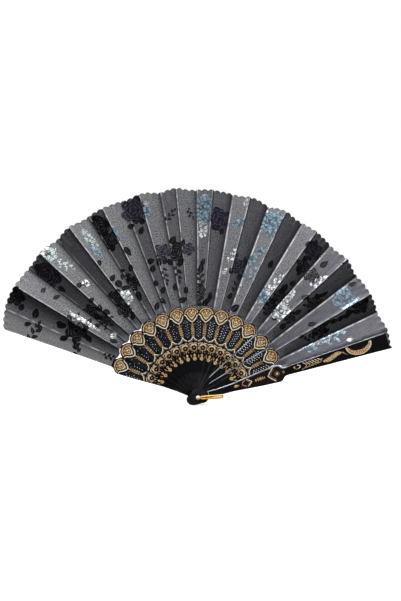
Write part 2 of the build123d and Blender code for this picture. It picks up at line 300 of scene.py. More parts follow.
# Motifs that cross every panel under them: x, z in mm, turn in degrees, then the size in mm,
# which is length and width for leaf and streak, radius for rose, cluster and sprig.
PRINT_ALL = {
    (cluster, "ink"): [(-133.0, 64.422, 20, 9.5), (-102.962, 77.064, 80, 5)],
    (rose, "ink"): [(-199.553, 98.993, 0, 8), (-82.035, 89.292, 10, 6.5)],
    (sprig, "ink"): [
        (-179.53, 60.161, 60, 8.5), (-132.659, 45.103, 100, 7), (-82.666, 126.857, -35, 8.5),
        (-98.018, 39.158, -10, 5.5),
    ],
    (rose, "violet"): [(-77.791, 196.896, 70, 11)],
    (sprig, "violet"): [(-17.132, 197.502, -60, 5)],
    (leaf, "silver"): [(-92.56, 60.888, -40, 8, 6.5)],
    (leaf, "ink"): [
        (-110.635, 80.475, -30, 8, 5), (-190.832, 96.167, 10, 6, 4),
        (-177.263, 81.209, 75, 9.5, 6), (-151.027, 71.122, -40, 7, 5),
        (-150.586, 108.736, -30, 8, 4.5), (-111.12, 138.455, -70, 6, 3.5),
        (-68.218, 175.311, 70, 8, 4.5), (-56.551, 143.081, 20, 7, 5),
        (-54.042, 135.139, 75, 7, 5), (-96.455, 123.009, 60, 7, 4.5),
        (-89.732, 116.87, -50, 8, 6), (-73.168, 83.25, 80, 8, 4), (-67.71, 104.98, -65, 10, 5),
        (-92.317, 55.528, -20, 8, 4), (-47.929, 95.138, 80, 8, 4.5),
        (-41.741, 100.789, -40, 7, 4), (-20.352, 102.834, 30, 8, 5),
        (-17.623, 113.699, 95, 7, 4), (3.376, 100.69, 80, 8, 5), (72.223, 145.706, 65, 8, 4.5),
        (35.776, 96.79, 40, 9, 6), (8.395, 108.436, 85, 8, 4), (-192.586, 87.495, 60, 7, 5),
        (-185.327, 69.564, 10, 7, 4), (-172.318, 66.933, 120, 6, 4),
        (-146.058, 56.31, 20, 8, 5), (-120.332, 57.478, 150, 8, 5),
        (-140.6, 78.04, 110, 7, 4.5), (-121.939, 69.221, 40, 7, 5),
        (-112.341, 70.73, 60, 6, 4), (-108.93, 90.219, 100, 7, 5),
        (-155.556, 99.917, 30, 7, 4), (-175.19, 130.175, 100, 7, 5),
        (-169.832, 106.788, 60, 6, 4), (-117.894, 98.405, 45, 6, 4),
        (-101.232, 86.272, -20, 7, 5), (-77.648, 134.604, 100, 7, 4.5),
        (-82.034, 112.923, 20, 8, 5), (-89.342, 108.294, 120, 7, 4),
        (-106.587, 180.551, 100, 8, 5), (-117.598, 186.495, 20, 8, 5),
        (-97.915, 155.166, 60, 7, 5), (-68.145, 185.519, 120, 7, 5),
        (-79.692, 179.624, 30, 7, 5), (-47.927, 142.398, 100, 8, 4.5),
        (-41.544, 143.762, 70, 7, 4), (-24.345, 143.469, 60, 8, 5),
        (-36.136, 142.934, 120, 7, 5), (-23.126, 163.932, 80, 7, 4),
        (-29.56, 116.38, 95, 7, 4), (-42.276, 112.58, 75, 7, 4), (-50.12, 119.742, 110, 6, 4),
        (6.446, 104.051, 60, 8, 4), (-3.055, 100.398, 120, 7, 4), (-0.763, 144.54, 70, 7, 4),
        (29.833, 109.41, 60, 7, 4), (39.627, 130.262, 30, 7, 4), (29.688, 136.256, 100, 6, 4),
        (45.328, 146.633, 70, 7, 4), (18.094, 178.694, 80, 7, 4), (76.168, 106.143, 20, 8, 5),
        (86.351, 118.421, 70, 7, 5), (67.641, 104.682, 110, 6, 4), (79.139, 88.018, 20, 7, 4),
        (111.981, 168.994, 40, 8, 5), (119.436, 170.406, 80, 7, 4), (110.519, 153.89, 10, 8, 5),
        (103.697, 138.542, 60, 7, 4), (96.729, 126.411, 40, 7, 4), (89.421, 121.783, 80, 7, 4),
        (110.274, 111.988, 30, 8, 4), (125.28, 112.67, 60, 7, 4), (103.5, 95.569, 30, 8, 4),
        (160.75, 112.132, 20, 8, 5), (175.805, 111.742, 50, 7, 4), (156.218, 93.667, 20, 8, 4),
        (119.091, 83.388, 20, 8, 4), (135.51, 76.615, 40, 7, 4), (142.527, 87.674, 20, 8, 4),
        (107.884, 69.99, 10, 6, 3.5), (149.884, 91.231, 50, 7, 4),
    ],
}
# Motifs on one panel only: the panel, then the same columns. A is the panel glued to the
# numbered stick, B the panel that bridges from it to the next stick.
PRINT_ONE = {
    (cluster, "ink"): [("A11", 82.356, 111.795, 0, 6.5), ("A12", 119.141, 105.946, 0, 5.5)],
    (rose, "ink"): [
        ("B2", -119.454, 85.445, 40, 6.5), ("B4", -111.8, 177.092, 50, 8.5),
        ("B4", -102.592, 163.546, 90, 7.5), ("B6", -30.191, 153.945, 130, 8.5),
        ("B3", -92.266, 101.717, 70, 7), ("B4", -74.238, 118.647, -70, 6.5),
        ("B7", -3.591, 112.188, 0, 7), ("A11", 72.269, 97.373, 60, 6),
        ("A12", 94.097, 89.772, 20, 5.5), ("A11", 106.572, 146.192, 0, 6),
        ("B11", 116.706, 135.911, 10, 6.5), ("A13", 169.617, 106.09, 40, 8),
        ("A13", 126.886, 77.297, 0, 7),
    ],
    (sprig, "ink"): [
        ("B6", -27.171, 134.748, -80, 8), ("B7", -3.103, 125.1, 100, 7),
        ("A13", 116.508, 69.307, 30, 6),
    ],
    (leaf, "ink"): [
        ("A3", -131.487, 113.899, 60, 5.5, 4.5), ("A5", -81.667, 152.144, -50, 10, 5),
        ("B6", -33.991, 166.661, 60, 8, 6), ("B7", -2.615, 138.011, 80, 10, 5),
        ("A12", 88.103, 79.833, 40, 8, 5), ("A11", 102.479, 141.709, 40, 7, 4),
        ("B11", 130.105, 148.334, 40, 9, 5), ("A12", 131.565, 116.178, 35, 9, 3.5),
        ("B12", 162.164, 128.308, 30, 8, 4), ("B12", 147.449, 121.195, 20, 7, 4),
        ("A13", 159.239, 98.1, 20, 8, 5), ("A13", 134.049, 85.141, 35, 9, 4),
    ],
    (cluster, "violet"): [("A9", 36.948, 141.956, 30, 6.5)],
    (rose, "violet"): [
        ("B2", -167.298, 121.94, 10, 12.5), ("A6", -45.198, 153.263, 10, 7),
        ("A7", -17.475, 157.744, 0, 5.5), ("A8", 14.294, 191.41, 40, 10),
        ("A11", 116.61, 161.685, 50, 8.5),
    ],
    (sprig, "violet"): [
        ("A6", -40.911, 129.828, -75, 7), ("B6", -39.447, 192.192, 50, 6),
        ("A9", 35.729, 121.493, 70, 7),
    ],
    (streak, "silver"): [
        ("A2", -125.447, 75.506, -30, 36, 4), ("B1", -133.925, 72.973, -30, 18, 2.2),
        ("A4", -121.838, 161.598, -50, 26, 8), ("B7", -2.418, 180.984, -88, 20, 9),
        ("B10", 70.37, 115.547, 55, 12, 6), ("B11", 92.149, 109.017, 48, 22, 5.5),
        ("B11", 121.335, 152.233, 47, 26, 3), ("B11", 151.446, 151.452, 40, 12, 3),
        ("B13", 130.735, 63.509, 20, 18, 1.6),
    ],
    (rose, "silver"): [
        ("A3", -165.104, 144.596, 20, 7.5), ("A4", -82.619, 102.155, 0, 7.5),
        ("B11", 86.399, 93.719, 20, 9),
    ],
    (sprig, "silver"): [
        ("A3", -149.659, 135.63, -25, 8), ("B8", 30.03, 152.383, 60, 7.5),
        ("B9", 64.138, 205.489, 60, 7), ("B10", 77.435, 125.535, 40, 9),
        ("B11", 121.383, 127.53, 35, 8),
    ],
    (leaf, "silver"): [
        ("A3", -125.129, 115.799, -15, 8.5, 7), ("A6", -64.173, 204.496, 20, 6, 4.5),
        ("B7", -1.783, 214.311, 30, 9, 6), ("B8", 42.408, 210.947, 70, 8, 4),
        ("B8", 23.256, 135.964, 60, 7, 4), ("B9", 42.209, 120.713, 55, 6, 4),
        ("B13", 160.602, 68.087, 20, 7, 4), ("B13", 169.275, 89.963, 25, 5, 3),
    ],
    (cluster, "blue"): [("B10", 65.303, 108.872, 60, 6)],
    (streak, "blue"): [
        ("A4", -114.871, 150.099, -40, 14, 6), ("A5", -94.309, 170.367, -60, 15, 5),
        ("A6", -62.639, 194.361, -75, 13, 7), ("B12", 157.729, 107.699, 30, 22, 4),
    ],
    (rose, "blue"): [
        ("B7", -1.199, 201.448, 0, 12.5), ("B9", 71.299, 189.702, 20, 11.5),
        ("B12", 153.198, 112.864, 10, 11),
    ],
    (leaf, "blue"): [
        ("B8", 35.902, 188.632, 35, 15, 7), ("B9", 61.894, 160.275, 60, 10, 6),
        ("B9", 52.685, 150.189, 55, 14, 7),
    ],
    (sprig, "blue"): [
        ("B9", 50.2, 133.965, 40, 9), ("B13", 139.067, 69.258, 22, 11),
        ("B13", 118.067, 58.637, 18, 9),
    ],
}
MOTIFS = [(*key, "", *row) for key, rows in PRINT_ALL.items() for row in rows]
MOTIFS += [(*key, *row) for key, rows in PRINT_ONE.items() for row in rows]


def print_fields(x, z, k, on_bridge):
    """Signed distance of each print tone at the points (x, z) of leaf piece k."""
    fields = {tone: np.full(x.shape, -3.0) for tone in TONES}
    for shape, tone, panel, cx, cz, turn, *size in MOTIFS:
        if panel and int(panel[1:]) != k:
            continue
        growth, gap = TONES[tone]
        size = [growth * v for v in size]
        reach = 2.6 * max(size)
        if shape in (rose, cluster):
            size.append(gap)
        dx, dz = x - cx, z - cz
        near = (np.abs(dx) < reach) & (np.abs(dz) < reach)
        if panel:
            near &= on_bridge if panel[0] == "B" else ~on_bridge
        if near.any():
            d = shape(dx[near], dz[near], math.radians(turn), *size)
            fields[tone][near] = np.maximum(fields[tone][near], np.clip(d, -3, 3))
    return fields


# ------------------------------------------------------------ leaf ----------
ROWS = 190
PANEL_COLS = 34


def leaf_edge(k):
    """Outer radius of the cloth at stick k, growing towards the rear guard."""
    return 214.5 + 1.05 * (STICKS - k)


def paddle_top(angle):
    """Radius of the scalloped edge that the paddle heads make at each direction."""
    best = np.zeros(np.shape(angle))
    for k in range(1, STICKS + 1):
        phi = np.radians(angle - stick_angle(k))
        across = PADDLE_Z * np.sin(phi)
        top = PADDLE_Z * np.cos(phi) + np.sqrt(np.maximum(PADDLE_R**2 - across**2, 0))
        best = np.maximum(best, np.where(np.abs(across) < PADDLE_R, top, 0))
    return best


def peak_angle(k):
    """Degrees from the axis of stick k to its mountain fold."""
    return GUARD_HALF if k == 1 else FRONT_PEAK if k == STICKS else PEAK


def guard_y(r):
    """Y of the cloth on the rear guard; on the front guard it is mirrored."""
    set_back = 1.1 + LEAN * (np.maximum(r, LEAN_R) - LEAN_R)
    return FRONT_Y[0] + set_back - GLUE - CLOTH_THICK / 2


def pleat_y(k, r, phi):
    """Y of cloth that lies along stick k, phi degrees off its axis when the fan is closed."""
    steepness = np.interp(r, PLEAT_R, PLEAT_SLOPE)
    return MID_Y[k - 1] - GLUED_OFFSET - steepness * r * np.sin(np.radians(phi))


def panel_levels(k, r, phi, s):
    """Y of the glued panel, and of the bridging panel at shares s of its width."""
    if k == STICKS:
        return -guard_y(r), -guard_y(r)
    if k == 1:
        glued = guard_y(r)
        return glued, glued + (pleat_y(2, r, PEAK) - glued) * s**2.6
    glued = pleat_y(k, r, phi)
    peak = peak_angle(k + 1)
    plane = pleat_y(k, r, -VALLEY + (VALLEY + peak) * s)
    step_end = 0.12  # the bridge first steps forward over this share of its width
    if k + 1 == STICKS:
        base = plane - 0.26 * smooth(s / step_end)
        return glued, base + (-guard_y(r) - base) * smooth((s - 0.8) / 0.2)
    step = 0.24
    rise = (VALLEY + np.degrees(np.arcsin((SLIP_HALF + 0.3) / r))) / (VALLEY + PEAK)
    rise = np.minimum(rise, 0.86)
    bridge = plane - step * smooth(s / step_end)
    return glued, bridge - (RIB_PITCH - step) * smooth((s - rise) / (1 - rise))


def leaf_grid(k):
    """Middle surface of the cloth from the mountain fold of stick k to that of stick k + 1.

    Returns the (rows, cols, 3) points, the share s across the bridging panel, the mask of
    that panel, and the per-point values that the cloth material reads.
    """
    last = k == STICKS
    axis, peak = stick_angle(k), peak_angle(k)
    valley = GUARD_HALF if k in (1, STICKS) else VALLEY
    # t runs 0..1 over the glued panel and 1..2 over the bridging panel
    t = np.linspace(0, 1 if last else 2, PANEL_COLS if last else 2 * PANEL_COLS - 1)
    phi = peak - (peak + valley) * np.minimum(t, 1)
    s = np.clip(t - 1, 0, 1)
    angle = axis + phi
    if not last:
        low = axis - valley
        span = low - stick_angle(k + 1) - peak_angle(k + 1)
        angle = np.where(t > 1, low - span * s, angle)

    # the outer edge has small scallops 6.8 mm wide at radius 222
    scallop = math.pi * (angle - 30.0) * 222 * math.pi / 180 / 6.8
    r_out = leaf_edge(k + s) - 1.1 + 2.0 * np.abs(np.sin(scallop)) ** 0.75
    r_out = r_out + 0.5 * np.sin(angle * 0.9 + k) - 9.0 * np.clip((angle - 157) / 6.5, 0, 1)
    r_out = r_out + 1.1 * np.exp(-(((angle - 112) / 28) ** 2))
    inward = np.clip((158 - angle) / 8, 0, 1) * np.clip((angle - 20) / 8, 0, 1)
    r_out = r_out + 0.55 * np.cos(math.pi * t) * inward
    # the inner edge follows the paddle heads
    gap = np.interp(angle, [0, 126, 133, 180], [0.08, 0.08, 0.6, 0.8])
    least = np.interp(angle, [0, 60, 126, 133, 180], [88.0, 89.5, 91.5, 95.0, 95.4])
    r_in = np.maximum(paddle_top(angle) + gap, least)
    r = r_in + (r_out - r_in) * np.linspace(0, 1, ROWS)[:, None]
    t, s, phi, angle = (np.broadcast_to(v, r.shape) for v in (t, s, phi, angle))

    glued, bridge = panel_levels(k, r, phi, s)
    y = np.where(t > 1, bridge, glued)
    # slack waves and the ridge over the slip, none of them at the folds
    arc = (angle - axis) * math.pi / 180 * r
    on_glued = t <= 1
    free = np.minimum(1, np.minimum(np.abs(t), np.abs(t - 1)) * 9)
    if not last:
        free = free * np.minimum(1, np.abs(2 - t) * 9)
    wave = 0.10 * value_noise(arc / 6.0 + 31 * k, r / 17.0, 3)
    wave = wave + 0.05 * value_noise(arc / 2.6 + 9 * k, r / 7.0, 5)
    y = y + free * smooth((r - r_in) / 6) * (np.where(on_glued, 0.55, 1.0) * wave)
    if 1 < k < STICKS:
        off_axis = np.abs(r * np.sin(np.radians(phi)))
        ridge = np.where(on_glued, -0.10 * np.exp(-((off_axis / (SLIP_HALF + 0.2)) ** 6)), 0.0)
        y = y + free * smooth((r - 99) / 5) * smooth((212 - r) / 4) * ridge
    # the hem turns a touch up and down with the scallops
    y = y + 0.25 * smooth((r - r_out + 9) / 9) * np.sin(2 * scallop) * free
    around = np.radians(angle)
    points = np.stack([r * np.cos(around), y, r * np.sin(around)], -1)

    def along_fold(at, width):
        return np.exp(-(((t - at) * PANEL_COLS / width) ** 2))

    # each mountain fold gets a painted highlight on its lit side and painted shade on the side that turns
    # away
    lit = along_fold(0, 1.15) * (k <= MIDDLE) + along_fold(2, 1.15) * (k >= MIDDLE)
    dark = along_fold(0, 2.2) * (k >= MIDDLE) + along_fold(2, 2.2) * (k < MIDDLE)
    dark = dark * smooth((r - r_in) / 5)
    # mm from the valley fold, positive on the glued panel
    dist = (angle - (axis - valley)) * math.pi / 180 * r
    fade = 3.4 if k <= MIDDLE else 4.6
    # painted shade: darkest at the valley fold, fading over fade mm of the glued panel, with a thin dark
    # line on the bridging panel
    shade = np.where(dist > 0, np.exp(-dist / fade), np.exp(dist / 0.5) * 0.9)
    # how far a panel faces away from the light; the cloth material paints shade in this share
    if k <= MIDDLE:
        turned = np.where(on_glued, 0.0, 1.0)
    else:
        glued_turn = 1 - 0.75 * np.clip((52 - angle) / 15, 0, 1)
        turned = np.where(on_glued, glued_turn, 2.0 * np.clip((62 - angle) / 18, 0, 1))
    # painted reflection: the silver foil is made brighter on the right and towards the inner edge
    foil_glare = np.maximum(smooth((points[..., 0] - 10) / 60), 1 - smooth((r - 168) / 22))
    marks = {
        # painted highlight on the lit side of the mountain folds
        "fold": lit,
        # painted highlight: a thin bright line on the bridging panel beside the valley fold
        "crease_highlight": np.exp(-(((dist + 1.35) / 0.5) ** 2)) * smooth((r - r_in) / 8),
        # painted shade by the valley folds and beside the mountain folds
        "shade": np.maximum(shade, 0.92 * dark),
        "hem": smooth((r - (r_out - 1.9)) / 1.2),
        "turned": turned,
        "bright": foil_glare,
        # painted light: the glued panel on the rear guard is made lighter
        "pale": np.where(on_glued & (k == 1), 0.10, 0.0),
        "along": r,
        "across": arc,
    }
    return points, s, ~on_glued, marks


def make_leaf(k):
    points, s, on_bridge, marks = leaf_grid(k)
    fields = print_fields(points[..., 0], points[..., 2], k, on_bridge)
    printed = np.maximum.reduce(list(fields.values()))
    lift = 0.055 * smooth((printed + 0.15) / 0.3)
    normal = np.cross(np.gradient(points, axis=1), np.gradient(points, axis=0))
    normal /= np.linalg.norm(normal, axis=-1, keepdims=True) + 1e-12
    normal *= -np.sign(normal[..., 1:2] + 1e-12)  # towards the front, -Y
    front = points + normal * (CLOTH_THICK / 2 + lift[..., None])
    back = points - normal * (CLOTH_THICK / 2)
    verts, quads = shell(front, back)
    obj = new_object(f"leaf_cloth_{k:02d}", verts, front_first(verts, quads))
    n = s.size
    for name, field in fields.items():
        set_attr(obj, name, np.concatenate([field.ravel(), np.full(n, -3.0)]))
    for name, values in marks.items():
        set_attr(obj, name, np.tile(values.ravel(), 2))
    set_attr(obj, "face", np.concatenate([np.ones(n), np.zeros(n)]))
    if k < STICKS:
        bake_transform(obj, BODIES[k - 1], BODIES[k], start=(0, 0, 0), end=(0, 0, 1))
        set_attr(obj, "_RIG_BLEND", np.tile(s.ravel(), 2))
        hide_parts(f"leaf_glued_{k:02d}", f"leaf_bridge_{k:02d}")
    else:
        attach(obj, BODIES[k - 1])
        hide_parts(f"leaf_glued_{k:02d}")
    return obj


leaf_pieces = [make_leaf(k) for k in range(1, STICKS + 1)]


# ------------------------------------------------------------ stick faces ---
# Faces are drawn with the stick upright: x across, z along it from the rivet, in mm.
def paddle_half(z):
    return np.interp(z, [FOOT_Z, WAIST_Z, PADDLE_Z], [FOOT_HALF, WAIST_HALF, PADDLE_R])


def to_line(x, z, points):
    """Distance to a line through the points."""
    d = np.full(x.shape, 99.0)
    for (ax, az), (bx, bz) in zip(points, points[1:]):
        px, pz, dx, dz = x - ax, z - az, bx - ax, bz - az
        t = np.clip((px * dx + pz * dz) / (dx * dx + dz * dz), 0, 1)
        d = np.minimum(d, np.hypot(px - t * dx, pz - t * dz))
    return d


def bezier(*points, n=14):
    degree = len(points) - 1
    return [
        tuple(sum(
            math.comb(degree, i) * (1 - t) ** (degree - i) * t**i * np.array(p)
            for i, p in enumerate(points)
        ))
        for t in np.linspace(0, 1, n)
    ]


def inside_polygon(x, z, polygon):
    inside = np.zeros(x.shape, bool)
    for (ax, az), (bx, bz) in zip(polygon, polygon[1:] + polygon[:1]):
        hit = (az > z) != (bz > z)
        with np.errstate(divide="ignore", invalid="ignore"):
            inside ^= hit & (x < (bx - ax) * (z - az) / (bz - az) + ax)
    return inside


def hole_centres():
    """Two rows of holes along each edge of the paddle, half a pitch apart."""
    centres = []
    for count, start, inset in ((7, 64.5, 1.4), (6, 65.95, 3.2)):
        for i in range(count):
            z = start + 2.9 * i
            x = paddle_half(z) - inset
            centres += [(x, z), (-x, z)]
    return centres


def stick_outline(guard):
    right = [
        (4.1 if guard else 3.3, 10.0),
        (3.7 if guard else 3.3, 22.0),
        (FOOT_HALF, FOOT_Z),
        (WAIST_HALF, WAIST_Z),
        (PADDLE_R, PADDLE_Z),
    ]
    if guard:  # shoulder, then the long blade
        right += bezier(
            (PADDLE_R, PADDLE_Z),
            (PADDLE_R + 0.3, PADDLE_Z + 5.6),
            (5.2, PADDLE_Z + 4.6),
            (4.6, PADDLE_Z + 9.7),
        )[1:]
        right += [(5.44, 120.0), (6.6, 150.0), (7.77, 180.0), (9.0, 212.0)]
    else:
        for a in np.linspace(0, math.pi / 2, 14)[1:]:
            right.append((PADDLE_R * math.cos(a), PADDLE_Z + PADDLE_R * math.sin(a)))
    left = [(-x, z) for x, z in reversed(right)]
    return [(float(x), float(z)) for x, z in right + (left if guard else left[1:])]


# Half lines of the rib ornament, mirrored about x = 0
BRACKET = bezier((0, 80.4), (4.4, 83.0), (5.6, 86.6))
BRACKET += bezier((5.6, 86.6), (7.4, 88.6), (9.6, 88.2))[1:]
SHELL_VEE = bezier((0, 84.0), (2.6, 85.6), (3.9, 88.4))
ROOF = [(0, 64.8), (2.2, 61.5), (6.9, 59.0)]


class Relief:
    """Height and tones of one stick face; each tone is a signed distance in mm.

    Strokes and dots are mirrored about x = 0; top is the height of a shape, 0 to 1.
    """

    def __init__(self, x, z):
        self.x, self.z, self.side = x, z, np.abs(x)
        self.height = np.zeros(x.shape)
        # edge marks painted highlights
        names = ("gold", "silver", "brown", "navy", "edge")
        self.tone = {name: np.full(x.shape, -9.0) for name in names}

    def put(self, tone, d, top, where=True):
        d = np.where(where, d, -9.0)
        self.tone[tone] = np.maximum(self.tone[tone], d)
        if tone not in ("navy", "edge"):
            self.height = np.maximum(self.height, top * smooth((d + 0.1) / 0.45))

    def stroke(self, tone, points, half, top, where=True):
        self.put(tone, half - to_line(self.side, self.z, points), top, where)

    def dot(self, tone, x, z, radius, top, squeeze=1.0, where=True):
        d = radius - np.hypot(self.side - x, (self.z - z) * squeeze)
        self.put(tone, d, top, where)


def ornament(relief):
    """Rib ornament: fleur, cup, roof line, lattice column, bracket and shell."""
    z, side, put, stroke, dot = relief.z, relief.side, relief.put, relief.stroke, relief.dot
    half = paddle_half(z)
    fit = side < half - 0.35
    # fleur at the foot
    fleur_z = [38.6, 39.6, 41.2, 42.4, 43.6, 44.6, 45.6, 46.6]
    fleur = np.interp(z, fleur_z, [0.1, 1.7, 2.3, 1.2, 0.65, 1.5, 0.9, 0.1])
    put("gold", fleur - side, 0.8, (z > 38.6) & (z < 46.6))
    dot("brown", 0, 41.0, radius=0.3, top=0.6, squeeze=0.55)
    stroke("gold", [(2.9, 42.2), (3.8, 45.0)], half=0.5, top=0.6, where=fit)
    dot("gold", 2.4, 48.0, radius=0.6, top=0.7)
    dot("silver", 0, 48.4, radius=0.5, top=0.7)
    # cup with a dark heart
    cup_r = np.hypot(side * 0.92, z - 53.4)
    put("gold", 0.55 - np.abs(cup_r - 3.1), 0.9, z > 51.0)
    put("gold", np.minimum(3.1 - cup_r, cup_r - 1.75), 0.7, z > 54.1)
    put("silver", 0.32 - np.abs(cup_r - 3.35), 1.0, z > 54.4)
    dot("gold", 0, 52.9, radius=0.8, top=0.9)
    under = bezier((0.2, 49.8), (3.4, 49.4), (4.4, 52.6))
    stroke("gold", under, half=0.45, top=0.7, where=fit)
    beside = bezier((4.5, 51.0), (5.6, 53.6), (4.9, 56.2))
    stroke("gold", beside, half=0.5, top=0.7, where=fit)
    above_cup = [(0.9, 57.9), (3.4, 57.5), (5.9, 56.6)]
    stroke("silver", above_cup, half=0.36, top=0.8, where=fit)
    # roof line and its echo
    stroke("silver", ROOF, half=0.50, top=1.0, where=fit)
    stroke("gold", [(0, 62.4), (1.7, 60.3), (4.6, 58.9)], half=0.30, top=0.6, where=fit)
    dot("brown", 0, 59.9, radius=0.5, top=0.5)
    # serrated lattice column
    teeth = np.sin((z - 65.0) * 2 * math.pi / 2.4)
    in_column = (z > 65.4) & (z < 77.2)
    put("gold", 1.65 + 0.55 * teeth - 0.012 * (z - 71) ** 2 - side, 0.75, in_column)
    lattice = 0.34 - np.abs(side - 0.55 - 0.35 * teeth)
    put("brown", lattice, 0.35, in_column & (side < 1.3))
    stroke("gold", [(1.2, 76.6), (2.9, 78.6)], half=0.34, top=0.7)
    dot("gold", 0, 78.4, radius=0.85, top=0.9, squeeze=0.75)
    # pale bracket under the shell
    stroke("silver", BRACKET, half=0.60, top=1.0, where=side < half - 0.15)
    # shell
    edge = PADDLE_R - np.hypot(side, z - PADDLE_Z)
    off_bracket = to_line(side, z, BRACKET)
    bracket_z = [80.4, 82.2, 84.0, 86.6, 88.1, 88.3]
    over = z > np.interp(side, [0, 2.5, 4.1, 5.6, 7.4, 9.4], bracket_z)
    body = np.where(over, np.minimum(edge - 1.45, off_bracket - 1.75), -9)
    inner = body > 0
    put("gold", body, 0.5)
    put("brown", 0.60 - np.abs(edge - 3.3), 0.3, inner)
    put("gold", 0.62 - np.abs(edge - 2.05), 1.0, inner)
    flute = np.abs(np.sin(np.arctan2(side, z - 83.0) * 8.5))
    put("brown", (0.5 - flute) * 0.9, 0.3, inner & (edge > 3.4) & (edge < 6.0))
    stroke("silver", SHELL_VEE, half=0.42, top=0.9, where=inner)
    vee_echo = [(0, 85.8), (2.2, 87.3), (3.2, 89.6)]
    stroke("brown", vee_echo, half=0.42, top=0.2, where=inner)
    dot("brown", 2.6, 90.9, radius=1.0, top=0.2, squeeze=0.75, where=inner)
    dot("gold", 2.7, 91.2, radius=0.36, top=0.9)
    brown = relief.tone["brown"]
    relief.tone["brown"] = np.where(np.hypot(side - 2.7, z - 91.2) < 0.4, -9, brown)
    bud = np.hypot(side * 1.3, (z - 90.2) * 0.62)
    put("brown", 0.35 - np.abs(bud - 1.35), 0.2, inner)
    put("silver", 0.75 - bud, 1.0)
    # fine ridges that follow the edge beside the column
    ridge_pitch = 1.45
    ridged = (z > 60) & (z < 87.5) & (side > 2.5) & (off_bracket > 1.0) & ~over
    put("navy", 0.30 - np.abs(((half - side) % ridge_pitch) - 0.72), 0, ridged)
    ridges = 0.22 * (0.5 + 0.5 * np.cos((half - side) * 2 * math.pi / ridge_pitch))
    relief.height = np.maximum(relief.height, np.where(ridged, ridges, 0))


def ornament_guard(relief):
    """Front guard ornament: fleur, chevron, column, bracket and rosette on a brown ground."""
    z, side, put, stroke = relief.z, relief.side, relief.put, relief.stroke
    half = paddle_half(z)
    fit = side < half - 0.9
    fleur = np.interp(z, [39.6, 40.6, 42.6, 44.6, 46.6], [0.1, 1.3, 1.6, 0.8, 0.1])
    put("gold", fleur - side, 0.7, (z > 39.6) & (z < 46.6))
    cup = bezier((0, 49.2), (2.6, 49.8), (3.0, 53.0))
    stroke("gold", cup, half=0.5, top=0.6, where=fit)
    stroke("silver", [(0, 59.8), (3.7, 55.2)], half=0.45, top=0.9, where=fit)
    stroke("gold", [(0, 57.6), (2.6, 54.4)], half=0.3, top=0.6, where=fit)
    column = 1.5 + 0.55 * np.sin((z - 63.6) * 2 * math.pi / 2.6) - 0.02 * (z - 69) ** 2
    put("gold", column - side, 0.8, (z > 63.6) & (z < 74.6))
    put("brown", 0.3 - np.abs(side - 0.7), 0.3, (z > 64.5) & (z < 73.6))
    stroke("silver", [(0, 78.0), (3.2, 80.6), (6.9, 84.6)], half=0.55, top=1.0, where=fit)
    stroke("gold", [(0, 80.2), (2.8, 82.6), (5.4, 85.8)], half=0.3, top=0.6, where=fit)
    put("gold", 0.34 - np.abs(np.hypot(side, z - 88.0) - 2.3), 0.8)
    put("silver", 1.15 - np.hypot(side, z - 88.0), 1.0)
    put("gold", 0.4 - np.abs(np.hypot(side, z - 95.0) - 1.0), 0.6)
    printed = np.maximum(relief.tone["gold"], relief.tone["silver"])
    mottle = 0.35 * np.sin(z * 1.7 + 2.2 * np.sin(side * 0.9))
    mottle = mottle + 0.25 * np.sin(side * 2.1 + z * 0.6)
    ground = (z > 47) & (z < 95) & (side < half - 1.3)
    put("brown", np.minimum(mottle, -printed - 0.35), 0.3, ground)


